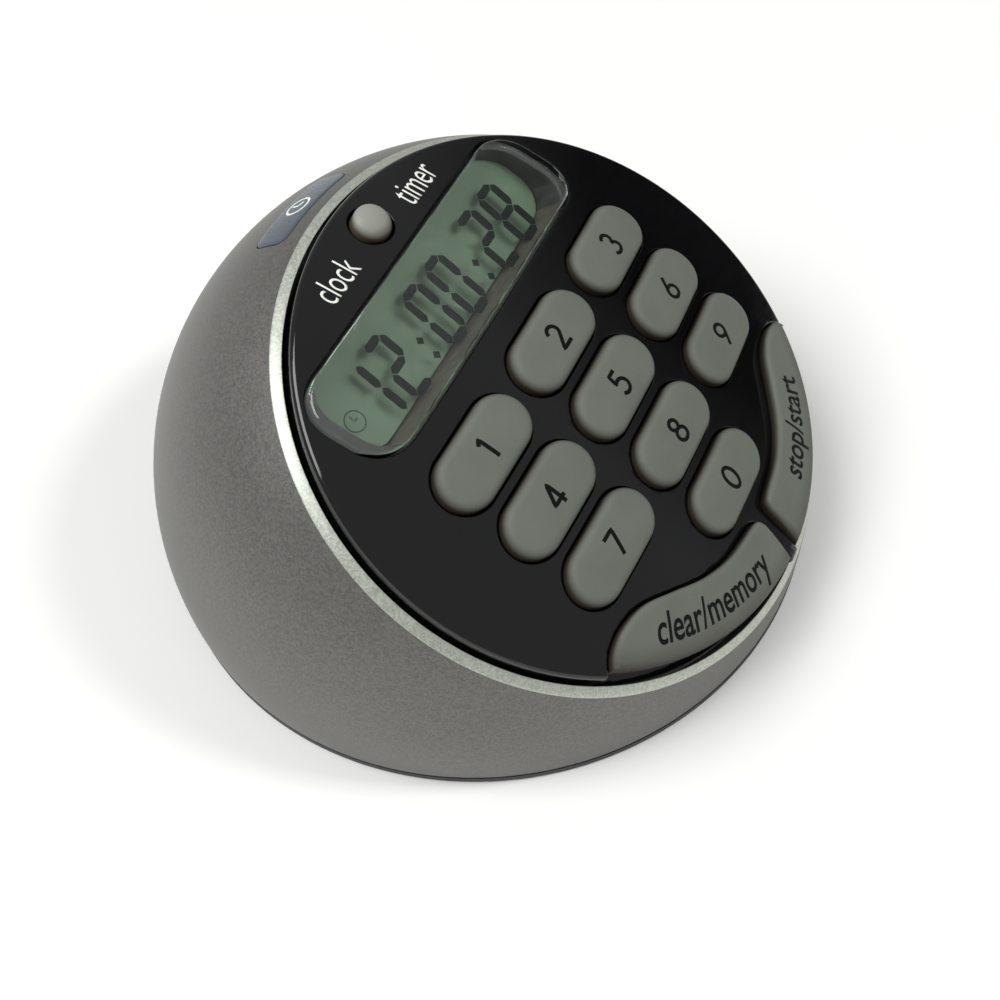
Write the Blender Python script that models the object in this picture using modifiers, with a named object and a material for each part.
"""Domed desk timer for the lab bench, as separate pieces: +Z up, metres, resting on z = 0.

The body is a ball cut flat below by the table and sliced off by a tilted face plane. Everything on the
face is modelled flat in the face's own frame, then dropped by DOME * r^2 to follow its domed top.
"""

import math

import bmesh
import bpy
from mathutils import Matrix, Vector
from mathutils.geometry import interpolate_bezier

MM = 0.001

# The ball-shaped housing
BALL_R = 44 * MM
WALL = 2 * MM
BALL_Z = 5.35 * MM  # height of the ball's centre above the table
TILT = math.radians(31.84)  # of the face plane, up towards the back
FACE_D = 25.48 * MM  # from the ball's centre to the face plane
OPENING_R = 35.18 * MM
RIM_R = 36.3 * MM  # outer edge of the bevelled rim, on the ball
HOUSING_LOW_Z = 1.5 * MM
SHELF_R = 33.2 * MM
SHELF_TOP = -3.4 * MM
SHELF_T = 1.6 * MM
ROUND_STEPS = 40
HOUSING_STEPS = 54

# The domed face plate; heights on the face are measured from the face plane
DOME = 4.07  # 1/m: the drop of every face surface is DOME * r^2
PLATE_R = 34.8 * MM
PLATE_CROWN = 6.9 * MM
PLATE_T = 2 * MM
SKIRT_R = 33 * MM
SKIRT_LOW = -3.1 * MM
NOTCH_LOW = -1.9 * MM
GAP = 0.3 * MM  # left between pieces that touch
PLAY = 0.35 * MM  # around a key in its opening

# Keys
KEY_SIZE = Vector((14.8, 7.3)) * MM
KEY_PROUD = 1.6 * MM
KEY_EDGE = 0.6 * MM
KEY_PITCH = Vector((16.8, 9.0)) * MM
TOP_ROW_Y = 6.3 * MM
FLANGE_GROW = 0.8 * MM
FLANGE_T = 0.8 * MM
TRAVEL = 1.0 * MM
POST_R = 2.0 * MM
PILL_R = 1.8 * MM
PILL_T = 0.5 * MM
FUNCTION_R = 34.0 * MM  # outer edge of the two curved keys
FUNCTION_HALF_BAR = 1.2 * MM  # half the black bar between them
FUNCTION_POST = Vector((16.0, -25.0)) * MM
MODE_POS = Vector((0.6, 30.6)) * MM
MODE_R = 2.35 * MM
MODE_PROUD = 1.7 * MM
MODE_SAG = 1.4 * MM  # of the button's domed top
MODE_POST_R = 1.3 * MM

# Circuit board and what it carries
BOARD_R = 32.6 * MM
BOARD_TOP = -2.5 * MM
BOARD_T = 1.6 * MM
BOARD_LOW = BOARD_TOP - BOARD_T
MAT_T = 0.8 * MM
BOARD_SCREWS = [(26.5, 13.0), (-26.5, 13.0), (14.2, -19.0), (-14.2, -19.0)]  # mm, on the face

# Display
DISPLAY_Y = 19.7 * MM
LENS_SIZE = Vector((48.6, 12.2)) * MM
LENS_CORNER = 4.6 * MM
LENS_PROUD = 0.5 * MM
LENS_T = 1.8 * MM
GLASS_SIZE = Vector((42.0, 11.4, 2.2)) * MM
GLASS_TOP = 0.8 * MM
TRAY_SIZE = Vector((43.8, 13.2, 1.4)) * MM
TRAY_FLOOR = 0.5 * MM

# Label on the housing behind the face
LABEL_SIZE = Vector((14.0, 6.0)) * MM
LABEL_CORNER = 1.6 * MM
LABEL_T = 0.5 * MM
LABEL_POLAR = math.radians(63)  # from the face's axis, up the back
LABEL_TURN = math.radians(-3.7)  # about the face's axis

# Base, battery box and door
BASE_R = 43.75 * MM
BASE_LOW = 0.3 * MM
BASE_STEP_R = 41.3 * MM
BASE_STEP_Z = 1.2 * MM
BASE_TOP = 3.0 * MM
FOOT_R = (38.0 * MM, 40.4 * MM)
FOOT_T = 1.3 * MM
BASE_SCREW_R = 34.5 * MM
BASE_SCREW_ANGLES = [45, 135, -140, -40]
BOSS_TOP = 11 * MM
CELL_R = 5.25 * MM
CELL_LENGTH = 44.5 * MM
CELL_CENTRE = Vector((0.65, 12.0, 8.05)) * MM
BOX_LOW = Vector((-26.0, 6.3, -1.0)) * MM  # the hollow of the battery box
BOX_HIGH = Vector((24.0, 17.7, 13.9)) * MM
BOX_WALL = 1.3 * MM
DOOR_SIZE = Vector((52.4, 13.8, 1.3)) * MM
DOOR_CENTRE = Vector((-1.0, 12.0, 1.35)) * MM
TAB_SIZE = Vector((6.0, 3.2, 0.6)) * MM
TAB_X = 15 * MM


# ---------------------------------------------------------------- helpers


def clear_scene():
    for obj in list(bpy.data.objects):
        bpy.data.objects.remove(obj, do_unlink=True)


def new_collection(name, hidden=False):
    made = bpy.data.collections.new(name)
    bpy.context.scene.collection.children.link(made)
    made.hide_render = hidden
    return made


def material(name, colour, roughness, metallic=0.0):
    made = bpy.data.materials.new(name)
    made.use_nodes = True
    shader = made.node_tree.nodes["Principled BSDF"]
    shader.inputs["Base Color"].default_value = (*colour, 1)
    shader.inputs["Roughness"].default_value = roughness
    shader.inputs["Metallic"].default_value = metallic
    return made


def place(obj, parent=None, at=(0, 0, 0), turn=(0, 0, 0)):
    obj.parent = parent
    obj.location = at
    obj.rotation_euler = turn
    return obj


def as_part(obj, name, look):
    obj.name = name
    obj.data.name = name
    obj.data.materials.clear()
    obj.data.materials.append(look)
    PARTS.objects.link(obj)
    obj.data.shade_smooth()
    obj.data.set_sharp_from_angle(angle=math.radians(35))
    return obj


def as_cutter(obj, name, group=None):
    obj.name = name
    obj.hide_render = True
    obj.display_type = "WIRE"
    (group or CUTTERS).objects.link(obj)
    return obj


def cutter_group(name):
    made = bpy.data.collections.new(name)
    CUTTERS.children.link(made)
    made.hide_render = True
    return made


def combine(obj, other, operation="DIFFERENCE"):
    """Adds a Boolean with one object, or with a whole collection of them."""
    step = obj.modifiers.new(operation.lower(), "BOOLEAN")
    step.operation = operation
    step.solver = "EXACT"
    if isinstance(other, bpy.types.Collection):
        step.operand_type = "COLLECTION"
        step.collection = other
    else:
        step.object = other
    return obj


def object_of(bm, name="shape"):
    mesh = bpy.data.meshes.new(name)
    bm.to_mesh(mesh)
    bm.free()
    return bpy.data.objects.new(name, mesh)


def box(low, high):
    """A box between two corners."""
    bm = bmesh.new()
    bmesh.ops.create_cube(bm, size=1)
    low, high = Vector(low), Vector(high)
    size = high - low
    bmesh.ops.scale(bm, verts=bm.verts, vec=size)
    bmesh.ops.translate(bm, verts=bm.verts, vec=(low + high) / 2)
    return object_of(bm)


def cylinder(radius, low, high, at=(0, 0), steps=20):
    """An upright cylinder between two heights."""
    bm = bmesh.new()
    bmesh.ops.create_cone(bm, cap_ends=True, segments=steps, radius1=radius, radius2=radius, depth=high - low)
    bmesh.ops.translate(bm, verts=bm.verts, vec=(at[0], at[1], (low + high) / 2))
    return object_of(bm)


def turned(profile, closed=False, steps=ROUND_STEPS):
    """A profile of (radius, height) points, down its outer side, turned about Z."""
    bm = bmesh.new()
    verts = [bm.verts.new((r, 0, z)) for r, z in profile]
    for a, b in zip(verts, verts[1:]):
        bm.edges.new((a, b))
    if closed:
        bm.edges.new((verts[-1], verts[0]))
    obj = object_of(bm)
    screw = obj.modifiers.new("turn", "SCREW")
    screw.steps = steps
    screw.render_steps = steps
    screw.use_merge_vertices = True
    screw.merge_threshold = 0.00001
    return obj


def mesh_of_curve(curve_obj):
    """The curve's solid as a mesh object, its caps welded to its sides."""
    mesh = bpy.data.meshes.new_from_object(curve_obj)
    bm = bmesh.new()
    bm.from_mesh(mesh)
    bmesh.ops.remove_doubles(bm, verts=bm.verts, dist=0.000001)
    bmesh.ops.recalc_face_normals(bm, faces=bm.faces)
    bm.to_mesh(mesh)
    bm.free()
    bpy.data.objects.remove(curve_obj, do_unlink=True)
    return bpy.data.objects.new("shape", mesh)


def slab(outline, low, high, edge=0.0):
    """A flat outline made solid between two heights, its rims rounded by edge."""
    data = bpy.data.curves.new("outline", "CURVE")
    data.dimensions = "2D"
    data.fill_mode = "BOTH"
    data.extrude = (high - low) / 2 - edge
    data.bevel_depth = edge
    data.bevel_resolution = 0
    data.offset = -edge
    spline = data.splines.new("POLY")
    spline.points.add(len(outline) - 1)
    for point, (x, y) in zip(spline.points, outline):
        point.co = (x, y, 0, 1)
    spline.use_cyclic_u = True
    made = mesh_of_curve(bpy.data.objects.new("outline", data))
    made.data.transform(Matrix.Translation((0, 0, (low + high) / 2)))
    return made


def tube(points, radius):
    """A round wire along the points."""
    data = bpy.data.curves.new("wire", "CURVE")
    data.dimensions = "3D"
    data.bevel_depth = radius
    data.bevel_resolution = 2
    data.use_fill_caps = True
    spline = data.splines.new("POLY")
    spline.points.add(len(points) - 1)
    for point, co in zip(spline.points, points):
        point.co = (*co, 1)
    return mesh_of_curve(bpy.data.objects.new("wire", data))


def arc(centre, radius, start, end, steps):
    """Points of an arc, angles in degrees."""
    angles = [math.radians(start + (end - start) * i / steps) for i in range(steps + 1)]
    return [(centre[0] + radius * math.cos(a), centre[1] + radius * math.sin(a)) for a in angles]


def rounded_box_outline(size, corner, steps=4):
    half_x = size[0] / 2 - corner
    half_y = size[1] / 2 - corner
    points = []
    for quarter, (sx, sy) in enumerate([(1, 1), (-1, 1), (-1, -1), (1, -1)]):
        points += arc((sx * half_x, sy * half_y), corner, 90 * quarter, 90 * quarter + 90, steps)
    return points


def stadium(size, grow=0.0):
    """A rectangle with half-round ends, grown all round."""
    radius = size[1] / 2 + grow
    reach = size[0] / 2 + grow - radius
    return arc((reach, 0), radius, -90, 90, 6) + arc((-reach, 0), radius, 90, 270, 6)


def smooth_through(points, steps=5):
    """A smooth line through the points, as short Bezier stretches."""
    line = []
    for i in range(len(points) - 1):
        before = points[max(i - 1, 0)]
        here, there = points[i], points[i + 1]
        after = points[min(i + 2, len(points) - 1)]
        lead = here + (there - before) / 6
        follow = there - (after - here) / 6
        line += interpolate_bezier(here, lead, follow, there, steps + 1)[:-1]
    return line + [points[-1]]


def follow_dome(obj, at=(0, 0), strip=0.0):
    """Drops the mesh to the dome, with the object at a place on the face, in strips if it is wide."""
    bm = bmesh.new()
    bm.from_mesh(obj.data)
    if strip:
        xs = [v.co.x for v in bm.verts]
        count = math.ceil((max(xs) - min(xs)) / strip)
        for i in range(1, count):
            where = (min(xs) + (max(xs) - min(xs)) * i / count, 0, 0)
            parts = bm.verts[:] + bm.edges[:] + bm.faces[:]
            bmesh.ops.bisect_plane(bm, geom=parts, plane_co=where, plane_no=(1, 0, 0))
    for vert in bm.verts:
        vert.co.z -= DOME * ((vert.co.x + at[0]) ** 2 + (vert.co.y + at[1]) ** 2)
    bm.to_mesh(obj.data)
    bm.free()
    return obj


def dome_height(crown, radius):
    return crown - DOME * radius**2


def dome_profile(crown, start, end, steps=4):
    """(radius, height) points of a domed surface."""
    radii = [start + (end - start) * i / steps for i in range(steps + 1)]
    return [(r, dome_height(crown, r)) for r in radii]


# ---------------------------------------------------------------- housing


def ball_arc(radius, start, end, step=9):
    """Points on a ball about the face's axis, as (radius, height above the face plane)."""
    count = max(1, round(abs(end - start) / step))
    angles = [math.radians(start + (end - start) * i / count) for i in range(count + 1)]
    return [(radius * math.sin(a), radius * math.cos(a) - FACE_D) for a in angles]


def angle_at(radius, ring):
    """Degrees from the face's axis at which a ball has the given ring radius."""
    return math.degrees(math.asin(ring / radius))


def make_housing():
    inner = BALL_R - WALL
    shelf_low = SHELF_TOP - SHELF_T
    shelf_ring = math.sqrt(inner**2 - (FACE_D + shelf_low) ** 2)
    last = 132  # past the lowest point of the back
    profile = [(OPENING_R, 0)]
    profile += ball_arc(BALL_R, angle_at(BALL_R, RIM_R), last)
    profile += ball_arc(inner, last, angle_at(inner, shelf_ring))
    profile += [(SHELF_R, shelf_low), (SHELF_R, SHELF_TOP), (OPENING_R, SHELF_TOP)]
    housing = as_part(place(turned(profile, closed=True, steps=HOUSING_STEPS), FACE), "housing_shell", SILVER)

    posts = cutter_group("housing_posts")
    holes = cutter_group("housing_holes")
    for number, degrees in enumerate(BASE_SCREW_ANGLES):
        turn = (0, 0, math.radians(degrees))
        post = cylinder(3 * MM, BASE_TOP + GAP, BOSS_TOP, at=(BASE_SCREW_R, 0))
        as_cutter(place(post, turn=turn), f"housing_post_{number}", posts)
        rib = box((BASE_SCREW_R, -1.2 * MM, BASE_TOP + GAP), (BALL_R - WALL / 2, 1.2 * MM, BOSS_TOP - MM))
        as_cutter(place(rib, turn=turn), f"housing_rib_{number}", posts)
        hole = cylinder(1.2 * MM, 0, BOSS_TOP - 1.5 * MM, at=(BASE_SCREW_R, 0), steps=12)
        as_cutter(place(hole, turn=turn), f"housing_hole_{number}", holes)
    table_cut = box((-0.06, -0.06, -0.05), (0.06, 0.06, HOUSING_LOW_Z))
    as_cutter(table_cut, "housing_table_cut", holes)
    combine(housing, posts, "UNION")
    combine(housing, holes)
    combine(housing, label_solid("label_pocket", GAP, BALL_R - LABEL_T - 0.2 * MM, BALL_R + MM))


def label_solid(name, grow, inner, outer):
    """The label's rounded outline carried through a shell of the ball, as a cutter."""
    size = LABEL_SIZE + Vector((2 * grow, 2 * grow))
    outline = slab(rounded_box_outline(size, LABEL_CORNER + grow, 3), BALL_R - 4 * MM, BALL_R + 3 * MM)
    as_cutter(place(outline, FACE, (0, 0, -FACE_D), (-LABEL_POLAR, 0, LABEL_TURN)), name)
    middle = math.degrees(LABEL_POLAR)
    ring = ball_arc(outer, middle - 8, middle + 8, 2) + ball_arc(inner, middle + 8, middle - 8, 2)
    ring = as_cutter(place(turned(ring, closed=True, steps=144), FACE), name + "_ring")
    return combine(outline, ring, "INTERSECT")


def make_label():
    """A plain curved label in its shallow pocket."""
    outline = label_solid("label_outline", 0.0, BALL_R - 0.4 * MM, BALL_R + 0.1 * MM)
    CUTTERS.objects.unlink(outline)
    outline.hide_render = False
    outline.display_type = "TEXTURED"
    as_part(outline, "label", LABEL_GREY)


# ---------------------------------------------------------------- face


def key_places():
    """Name and place on the face of each number key."""
    places = []
    for number in range(1, 10):
        row, column = divmod(number - 1, 3)
        places.append((f"key_{number}", (column - 1) * KEY_PITCH.x, TOP_ROW_Y - row * KEY_PITCH.y))
    places.append(("key_0", 0.0, TOP_ROW_Y - 3 * KEY_PITCH.y))
    return places


def function_outline(side, grow=0.0, outer=FUNCTION_R):
    """The curved key beside the black bar: a wavy inner edge and an outer edge along the plate's circle."""
    wave = [(1.2, -28.0), (1.6, -26.9), (3.0, -26.4), (8.0, -25.6), (12.4, -23.7), (16.4, -20.9)]
    wave += [(20.0, -18.5)]
    wave += [(23.6, -17.7), (26.4, -18.2), (28.3, -19.6), (31.0, -22.2)]
    line = smooth_through([Vector((x, y, 0)) * MM for x, y in wave], 2)
    edge = []
    for i, point in enumerate(line):
        along = line[min(i + 1, len(line) - 1)] - line[max(i - 1, 0)]
        normal = Vector((-along.y, along.x, 0)).normalized()
        grown = point + normal * grow
        if grown.length > outer:
            inside = edge[-1]
            share = (outer - inside.length) / (grown.length - inside.length)
            edge.append(inside.lerp(grown, share))
            break
        edge.append(grown)
    start = math.degrees(math.atan2(edge[-1].y, edge[-1].x))
    end = math.degrees(-math.acos((FUNCTION_HALF_BAR - grow) / outer))
    points = [(p.x, p.y) for p in edge] + arc((0, 0), outer, start, end, 8)[1:]
    return [(side * x, y) for x, y in points][::side]


def make_face_plate():
    fillet = arc((PLATE_R - 0.9 * MM, 1.35 * MM), 0.9 * MM, 75, 0, 3)
    profile = dome_profile(PLATE_CROWN, 0, PLATE_R - 1.2 * MM) + fillet
    profile += [(PLATE_R, SKIRT_LOW), (SKIRT_R, SKIRT_LOW)]
    profile += dome_profile(PLATE_CROWN - PLATE_T, SKIRT_R, 0)
    plate = as_part(place(turned(profile), FACE), "face_plate", BLACK_GLOSS)

    posts = cutter_group("plate_posts")
    holes = cutter_group("plate_holes")
    for number, (x, y) in enumerate(BOARD_SCREWS):
        at = (x * MM, y * MM)
        top = dome_height(PLATE_CROWN - PLATE_T / 2, math.hypot(*at))
        as_cutter(place(cylinder(2 * MM, BOARD_TOP + GAP, top, at), FACE), f"plate_post_{number}", posts)
        hole = cylinder(0.95 * MM, BOARD_TOP - MM, 0.9 * MM, at, steps=12)
        as_cutter(place(hole, FACE), f"plate_hole_{number}", holes)
    for name, x, y in key_places():
        opening = slab(stadium(KEY_SIZE, PLAY), -2 * MM, 12 * MM)
        as_cutter(place(opening, FACE, (x, y, 0)), f"opening_{name}", holes)
    for side in (1, -1):
        outline = function_outline(side, PLAY, FUNCTION_R + 2 * MM)
        as_cutter(place(slab(outline, NOTCH_LOW, 12 * MM), FACE), f"opening_function_{side}", holes)
    lens_hole = rounded_box_outline(LENS_SIZE + Vector((2, 2)) * GAP, LENS_CORNER + GAP)
    as_cutter(place(slab(lens_hole, -6 * MM, 12 * MM), FACE, (0, DISPLAY_Y, 0)), "opening_lens", holes)
    pocket = Vector((GLASS_SIZE.x / 2 + GAP, GLASS_SIZE.y / 2 + GAP, 0))
    middle = Vector((0, DISPLAY_Y, 0))
    floor, opening = Vector((0, 0, -2.4 * MM)), Vector((0, 0, 1.1 * MM))
    glass_pocket = box(middle - pocket + floor, middle + pocket + opening)
    as_cutter(place(glass_pocket, FACE), "glass_pocket", holes)
    mode_hole = cylinder(MODE_R + GAP, NOTCH_LOW, 12 * MM, MODE_POS, steps=24)
    as_cutter(place(mode_hole, FACE), "opening_mode", holes)
    combine(plate, posts, "UNION")
    combine(plate, holes)


def make_lens():
    lens = slab(rounded_box_outline(LENS_SIZE, LENS_CORNER), -LENS_T, 0, 0.3 * MM)
    lens.data.transform(Matrix.Translation((0, DISPLAY_Y, PLATE_CROWN + LENS_PROUD)))
    as_part(place(follow_dome(lens, strip=9 * MM), FACE), "display_lens", CLEAR)


def make_key(name, at, cap_outline, flange_outline, post_at):
    """One rubber key on its own slide: a cap, the flange that holds it in and the post to the board."""
    crown = PLATE_CROWN + KEY_PROUD
    flange_top = PLATE_CROWN - PLATE_T - GAP
    middle = flange_top - FLANGE_T / 2
    cap = follow_dome(slab(cap_outline, middle, crown, KEY_EDGE), at, 8 * MM)
    key = as_part(place(cap, FACE, (*at, 0)), name, KEY_GREY)
    rest = cutter_group(f"{name}_rest")
    flange = follow_dome(slab(flange_outline, flange_top - FLANGE_T, flange_top), at, 8 * MM)
    as_cutter(place(flange, FACE, (*at, 0)), f"{name}_flange", rest)
    top = middle - DOME * ((at[0] + post_at[0]) ** 2 + (at[1] + post_at[1]) ** 2) + 0.6 * MM
    post_low = BOARD_TOP + TRAVEL + 0.05 * MM + PILL_T + GAP
    post = cylinder(POST_R, post_low, top, post_at, steps=8)
    as_cutter(place(post, FACE, (*at, 0)), f"{name}_post", rest)
    combine(key, rest, "UNION")
    pill = cylinder(PILL_R, post_low - GAP - PILL_T, post_low - GAP, post_at, steps=10)
    as_part(place(pill, FACE, (*at, 0)), name.replace("key", "pill"), CARBON)


def make_keys():
    for name, x, y in key_places():
        make_key(name, (x, y), stadium(KEY_SIZE), stadium(KEY_SIZE, FLANGE_GROW), (0, 0))
    for side, name in ((1, "key_stop_start"), (-1, "key_clear_memory")):
        flange = function_outline(side, 0.7 * MM, SKIRT_R - 0.4 * MM)
        make_key(name, (0, 0), function_outline(side), flange, (side * FUNCTION_POST.x, FUNCTION_POST.y))


def make_mode_button():
    crown = dome_height(PLATE_CROWN, MODE_POS.length) + MODE_PROUD
    low = BOARD_TOP + TRAVEL + 0.05 * MM + PILL_T + GAP
    round_top = [(MODE_R * math.sin(a), crown - MODE_SAG * (1 - math.cos(a)))
                 for a in [math.radians(15 * i) for i in range(7)]]
    profile = round_top + [(MODE_R, low), (0, low)]
    button = turned(profile, steps=20)
    as_part(place(button, FACE, (*MODE_POS, 0)), "mode_button", MODE_GREY)
    pill = cylinder(MODE_POST_R, low - GAP - PILL_T, low - GAP, steps=10)
    as_part(place(pill, FACE, (*MODE_POS, 0)), "pill_mode", CARBON)


def make_keymat():
    """The domed rubber sheet under the keys, holed for their posts and for the plate's screw posts."""
    crown = PLATE_CROWN - PLATE_T - GAP - FLANGE_T - TRAVEL - 0.1 * MM
    outer = SKIRT_R - 0.6 * MM
    profile = dome_profile(crown, 0, outer) + dome_profile(crown - MAT_T, outer, 0)
    mat = as_part(place(turned(profile), FACE), "keymat", KEY_GREY)
    holes = cutter_group("keymat_holes")
    posts = [(x, y) for _, x, y in key_places()]
    posts += [(side * FUNCTION_POST.x, FUNCTION_POST.y) for side in (1, -1)]
    for number, at in enumerate(posts):
        hole = cylinder(POST_R + 0.5 * MM, -4 * MM, 6 * MM, at, steps=10)
        as_cutter(place(hole, FACE), f"mat_hole_{number}", holes)
    for number, (x, y) in enumerate(BOARD_SCREWS[2:]):
        hole = cylinder(2.5 * MM, -4 * MM, 6 * MM, (x * MM, y * MM), steps=12)
        as_cutter(place(hole, FACE), f"mat_boss_hole_{number}", holes)
    away = box((-0.04, 11 * MM, -0.01), (0.04, 0.05, 0.01))
    as_cutter(place(away, FACE), "mat_display_cut", holes)
    combine(mat, holes)


def make_display():
    glass_low = GLASS_TOP - GLASS_SIZE.z
    half = GLASS_SIZE.to_2d() / 2
    glass = box((-half.x, DISPLAY_Y - half.y, glass_low), (half.x, DISPLAY_Y + half.y, GLASS_TOP))
    as_part(place(glass, FACE), "lcd_glass", LCD_GREEN)
    ring = TRAY_SIZE.to_2d() / 2
    low = BOARD_TOP + GAP
    tray = box((-ring.x, DISPLAY_Y - ring.y, low), (ring.x, DISPLAY_Y + ring.y, low + TRAY_SIZE.z))
    tray = as_part(place(tray, FACE), "lcd_tray", BLACK_PLASTIC)
    inside_skirt = cylinder(SKIRT_R - 0.4 * MM, -0.01, 0.01, steps=40)
    combine(tray, as_cutter(place(inside_skirt, FACE), "lcd_tray_round"), "INTERSECT")
    holes = cutter_group("lcd_tray_holes")
    hollow = half + Vector((GAP, GAP))
    floor = low + TRAY_FLOOR
    cut = box((-hollow.x, DISPLAY_Y - hollow.y, floor), (hollow.x, DISPLAY_Y + hollow.y, 0.01))
    as_cutter(place(cut, FACE), "lcd_tray_hollow", holes)
    strip_y = DISPLAY_Y - half.y + 1.6 * MM
    slot = box((-19.4 * MM, strip_y - 1.2 * MM, -0.01), (19.4 * MM, strip_y + 1.2 * MM, 0.01))
    as_cutter(place(slot, FACE), "zebra_slot", holes)
    combine(tray, holes)
    strip = box((-19 * MM, strip_y - 0.9 * MM, low), (19 * MM, strip_y + 0.9 * MM, glass_low - GAP))
    as_part(place(strip, FACE), "zebra_strip", KEY_GREY)


def make_board():
    disc = cylinder(BOARD_R, BOARD_LOW, BOARD_TOP, steps=40)
    board = as_part(place(disc, FACE), "circuit_board", BOARD_GREEN)
    holes = cutter_group("board_holes")
    for number, (x, y) in enumerate(BOARD_SCREWS):
        at = (x * MM, y * MM)
        hole = cylinder(1.15 * MM, -0.01, 0.01, at, steps=12)
        as_cutter(place(hole, FACE), f"board_hole_{number}", holes)
        head = BOARD_LOW - GAP
        profile = [(0, 0.5 * MM), (0.85 * MM, 0.2 * MM), (0.85 * MM, head), (1.9 * MM, head)]
        profile += [(1.9 * MM, head - 0.8 * MM), (1.5 * MM, head - 1.3 * MM), (0, head - 1.3 * MM)]
        screw = place(turned(profile, steps=12), FACE, (*at, 0))
        as_part(screw, f"board_screw_{number + 1}", STEEL)
    combine(board, holes)

    low = BOARD_LOW - GAP
    blob = [(0, low), (5 * MM, low), (4.6 * MM, low - 0.6 * MM), (3.2 * MM, low - 1.2 * MM)]
    blob.append((0, low - 1.5 * MM))
    as_part(place(turned(blob, steps=24), FACE, (-9 * MM, -8 * MM, 0)), "chip_blob", BLACK_PLASTIC)
    crystal = cylinder(MM, -3 * MM, 3 * MM, steps=16)
    as_part(place(crystal, FACE, (5 * MM, -13 * MM, low - MM), (0, math.radians(90), 0)), "crystal", STEEL)
    capacitor = cylinder(2.5 * MM, low - 7 * MM, low, (15 * MM, -7 * MM))
    as_part(place(capacitor, FACE), "capacitor", BLUE_SLEEVE)
    cup = [(0, low), (8 * MM, low), (8 * MM, low - 4 * MM), (7.2 * MM, low - 4 * MM), (7.2 * MM, low - MM)]
    cup.append((0, low - MM))
    as_part(place(turned(cup, steps=24), FACE, (0, 8 * MM, 0)), "sounder_cup", BLACK_PLASTIC)
    disc = cylinder(6.9 * MM, low - 3.4 * MM, low - 3.0 * MM, steps=24)
    as_part(place(disc, FACE, (0, 8 * MM, 0)), "piezo_disc", BRASS)


# ---------------------------------------------------------------- base and battery


def make_base():
    groove = [(FOOT_R[1] + GAP, BASE_LOW), (FOOT_R[1] + GAP, FOOT_T + GAP)]
    groove += [(FOOT_R[0] - GAP, FOOT_T + GAP), (FOOT_R[0] - GAP, BASE_LOW)]
    profile = [(0, BASE_TOP), (BASE_STEP_R, BASE_TOP), (BASE_STEP_R, BASE_STEP_Z), (BASE_R, BASE_STEP_Z)]
    profile += [(BASE_R, BASE_LOW)] + groove + [(0, BASE_LOW)]
    base = as_part(turned(profile), "base_plate", BLACK_PLASTIC)
    wall = Vector((BOX_WALL, BOX_WALL, BOX_WALL))
    shell = box(Vector((*(BOX_LOW - wall).to_2d(), 2 * MM)), BOX_HIGH + wall)
    as_cutter(shell, "battery_box")
    holes = cutter_group("base_holes")
    as_cutter(box(BOX_LOW, BOX_HIGH), "battery_hollow", holes)
    recess = DOOR_SIZE / 2 + Vector((GAP, GAP, 0))
    low = DOOR_CENTRE - recess
    high = DOOR_CENTRE + recess
    as_cutter(box((low.x, low.y, -MM), (high.x, high.y, high.z + GAP)), "door_recess", holes)
    for side in (-1, 1):
        x = DOOR_CENTRE.x + side * TAB_X
        slot_low = (x - TAB_SIZE.x / 2 - GAP, low.y - 2.0 * MM, 1.1 * MM)
        slot = box(slot_low, (x + TAB_SIZE.x / 2 + GAP, BOX_LOW.y + 0.4 * MM, 4.4 * MM))
        as_cutter(slot, f"tab_slot_{side}", holes)
    scoop = cylinder(6 * MM, -MM, 1.7 * MM, (DOOR_CENTRE.x, high.y - 3.4 * MM), steps=24)
    as_cutter(scoop, "finger_scoop", holes)
    as_cutter(box((22.9 * MM, 10.2 * MM, 12 * MM), (23.9 * MM, 13.8 * MM, 18 * MM)), "plus_tab_slot", holes)
    as_cutter(cylinder(0.8 * MM, 12 * MM, 18 * MM, (-25.0 * MM, 12 * MM), steps=12), "spring_slot", holes)
    for number in range(5):
        at = (0.004 * (number - 2), -14 * MM)
        as_cutter(cylinder(0.8 * MM, -MM, 5 * MM, at, steps=8), f"sound_hole_{number}", holes)
    for number, degrees in enumerate(BASE_SCREW_ANGLES):
        turn = (0, 0, math.radians(degrees))
        hole = cylinder(1.3 * MM, -MM, 5 * MM, (BASE_SCREW_R, 0), steps=12)
        as_cutter(place(hole, turn=turn), f"base_screw_hole_{number}", holes)
        sink = cylinder(2.4 * MM, -MM, 2 * MM, (BASE_SCREW_R, 0), steps=16)
        as_cutter(place(sink, turn=turn), f"base_screw_sink_{number}", holes)
        make_base_screw(number, math.radians(degrees))
    combine(base, bpy.data.objects["battery_box"], "UNION")
    combine(base, holes)
    foot = [(FOOT_R[1], FOOT_T), (FOOT_R[1], 0), (FOOT_R[0], 0), (FOOT_R[0], FOOT_T)]
    as_part(turned(foot, closed=True), "foot_ring", RUBBER)


def make_base_screw(number, turn):
    head_low = 0.7 * MM
    head_top = 1.7 * MM
    profile = [(0, 8.5 * MM), (1.1 * MM, 8.1 * MM), (1.1 * MM, head_top), (2.1 * MM, head_top)]
    profile += [(2.1 * MM, head_low + 0.3 * MM), (1.8 * MM, head_low), (0, head_low)]
    place_at = (BASE_SCREW_R * math.cos(turn), BASE_SCREW_R * math.sin(turn), 0)
    screw = as_part(place(turned(profile, steps=12), at=place_at), f"base_screw_{number + 1}", STEEL)
    cross = cutter_group(f"cross_{number}")
    for name, quarter in (("a", 0), ("b", 90)):
        arm = box((-1.2 * MM, -0.25 * MM, 0), (1.2 * MM, 0.25 * MM, 1.3 * MM))
        turn_arm = (0, 0, turn + math.radians(quarter))
        as_cutter(place(arm, at=place_at, turn=turn_arm), f"cross_{number}_{name}", cross)
    combine(screw, cross)


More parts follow.
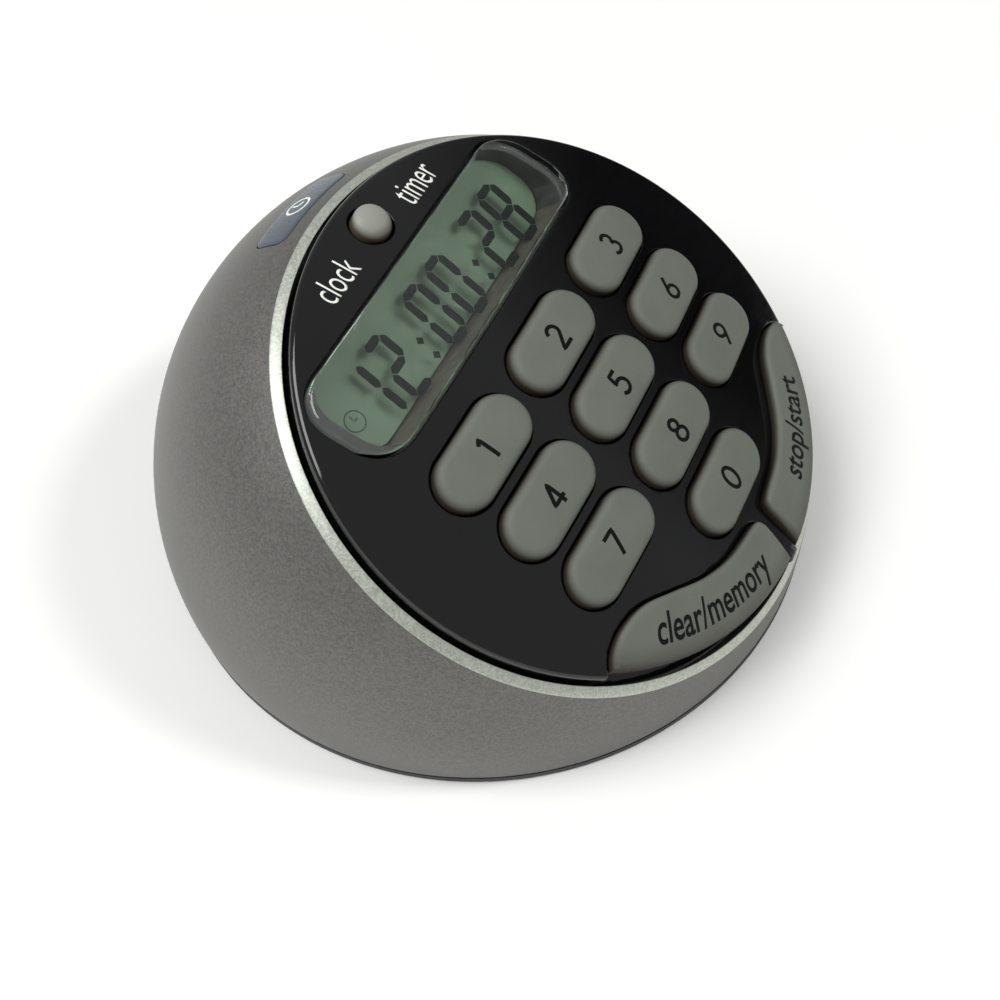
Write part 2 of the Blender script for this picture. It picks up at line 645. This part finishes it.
def make_door():
    """The battery door: its origin is on the line that its two tabs turn about."""
    hinge = Vector((DOOR_CENTRE.x, DOOR_CENTRE.y - DOOR_SIZE.y / 2, DOOR_CENTRE.z - DOOR_SIZE.z / 2))
    low = DOOR_CENTRE - DOOR_SIZE / 2 - hinge
    high = DOOR_CENTRE + DOOR_SIZE / 2 - hinge
    door = as_part(place(box(low, high), at=hinge), "battery_door", BLACK_PLASTIC)
    tabs = cutter_group("door_tabs")
    for side in (-1, 1):
        x = side * TAB_X
        tab_low = (x - TAB_SIZE.x / 2, -1.6 * MM, high.z - TAB_SIZE.z)
        tab = box(tab_low, (x + TAB_SIZE.x / 2, TAB_SIZE.y - 1.6 * MM, high.z - 0.05 * MM))
        as_cutter(place(tab, at=hinge), f"door_tab_{side}", tabs)
    combine(door, tabs, "UNION")


def make_battery():
    half = CELL_LENGTH / 2
    nipple = 1.0 * MM
    profile = [(0, half), (1.9 * MM, half), (1.9 * MM, half - nipple), (CELL_R - 0.5 * MM, half - nipple)]
    profile += [(CELL_R, half - nipple - 0.5 * MM), (CELL_R, -half + 0.5 * MM), (CELL_R - 0.5 * MM, -half)]
    profile.append((0, -half))
    cell = place(turned(profile, steps=24), at=CELL_CENTRE, turn=(0, math.radians(90), 0))
    as_part(cell, "battery_cell", CELL_LOOK)

    plate = box((23.2 * MM, 8 * MM, 3.2 * MM), (23.6 * MM, 16 * MM, 13.4 * MM))
    plate = as_part(plate, "battery_contact_plus", NICKEL)
    tab = box((23.2 * MM, 10.5 * MM, 12.9 * MM), (23.6 * MM, 13.5 * MM, 16.4 * MM))
    combine(plate, as_cutter(tab, "plus_tab"), "UNION")

    centre = CELL_CENTRE
    wall_x, cell_x = -25.0 * MM, -22.4 * MM
    turns, steps = 3, 10
    coil = []
    for i in range(turns * steps + 1):
        part = i / (turns * steps)
        angle = math.radians(90) - 2 * math.pi * i / steps
        radius = 3.9 * MM - 1.5 * MM * part
        x = wall_x + (cell_x - wall_x) * part
        coil.append((x, centre.y + radius * math.cos(angle), centre.z + radius * math.sin(angle)))
    tail = [(wall_x, centre.y, 16.2 * MM - i * MM) for i in range(4)]
    as_part(tube(tail + coil, 0.3 * MM), "battery_contact_spring", NICKEL)


def make_wires():
    """The two leads from the battery contacts up to the board, held at both ends."""
    ends = (("wire_plus", 23.4 * MM, 18 * MM, RED), ("wire_minus", -25.0 * MM, -20 * MM, BLACK_PLASTIC))
    normal = Vector((0, -math.sin(TILT), math.cos(TILT)))
    for name, start_x, board_x, look in ends:
        start = Vector((start_x, CELL_CENTRE.y, 16.8 * MM))
        end = FACE.matrix_world @ Vector((board_x, 4 * MM, BOARD_LOW - GAP - 0.1 * MM))
        lead = start + Vector((0, 0, 7 * MM))
        route = interpolate_bezier(start, lead, end - normal * 7 * MM, end, 12)
        as_part(tube(route, 0.6 * MM), name, look)


clear_scene()
PARTS = new_collection("lab_timer")
CUTTERS = new_collection("cutters", hidden=True)
FACE = bpy.data.objects.new("face_frame", None)
PARTS.objects.link(FACE)
FACE.location = (0, -math.sin(TILT) * FACE_D, BALL_Z + math.cos(TILT) * FACE_D)
FACE.rotation_euler = (TILT, 0, 0)
bpy.context.view_layer.update()

SILVER = material("silver_paint", (0.30, 0.28, 0.26), 0.38, 0.7)
BLACK_GLOSS = material("black_gloss", (0.012, 0.012, 0.014), 0.08)
CLEAR = material("clear_acrylic", (0.9, 0.95, 0.92), 0.03)
KEY_GREY = material("key_silicone", (0.18, 0.2, 0.17), 0.6)
MODE_GREY = material("mode_silicone", (0.42, 0.43, 0.38), 0.5)
CARBON = material("carbon_pill", (0.02, 0.02, 0.02), 0.7)
LABEL_GREY = material("label_grey", (0.1, 0.11, 0.13), 0.35)
LCD_GREEN = material("lcd_green", (0.12, 0.21, 0.1), 0.15)
BOARD_GREEN = material("board_green", (0.02, 0.12, 0.04), 0.4)
BLACK_PLASTIC = material("black_abs", (0.02, 0.02, 0.02), 0.5)
RUBBER = material("foot_rubber", (0.015, 0.015, 0.015), 0.85)
STEEL = material("zinc_steel", (0.55, 0.55, 0.56), 0.3, 1)
NICKEL = material("nickel_plate", (0.6, 0.58, 0.54), 0.25, 1)
BRASS = material("brass_disc", (0.7, 0.5, 0.2), 0.3, 1)
BLUE_SLEEVE = material("capacitor_sleeve", (0.03, 0.08, 0.3), 0.35)
CELL_LOOK = material("cell_jacket", (0.05, 0.2, 0.12), 0.3)
RED = material("red_insulation", (0.5, 0.02, 0.02), 0.4)

make_housing()
make_label()
make_face_plate()
make_lens()
make_keys()
make_mode_button()
make_keymat()
make_display()
make_board()
make_base()
make_door()
make_battery()
make_wires()
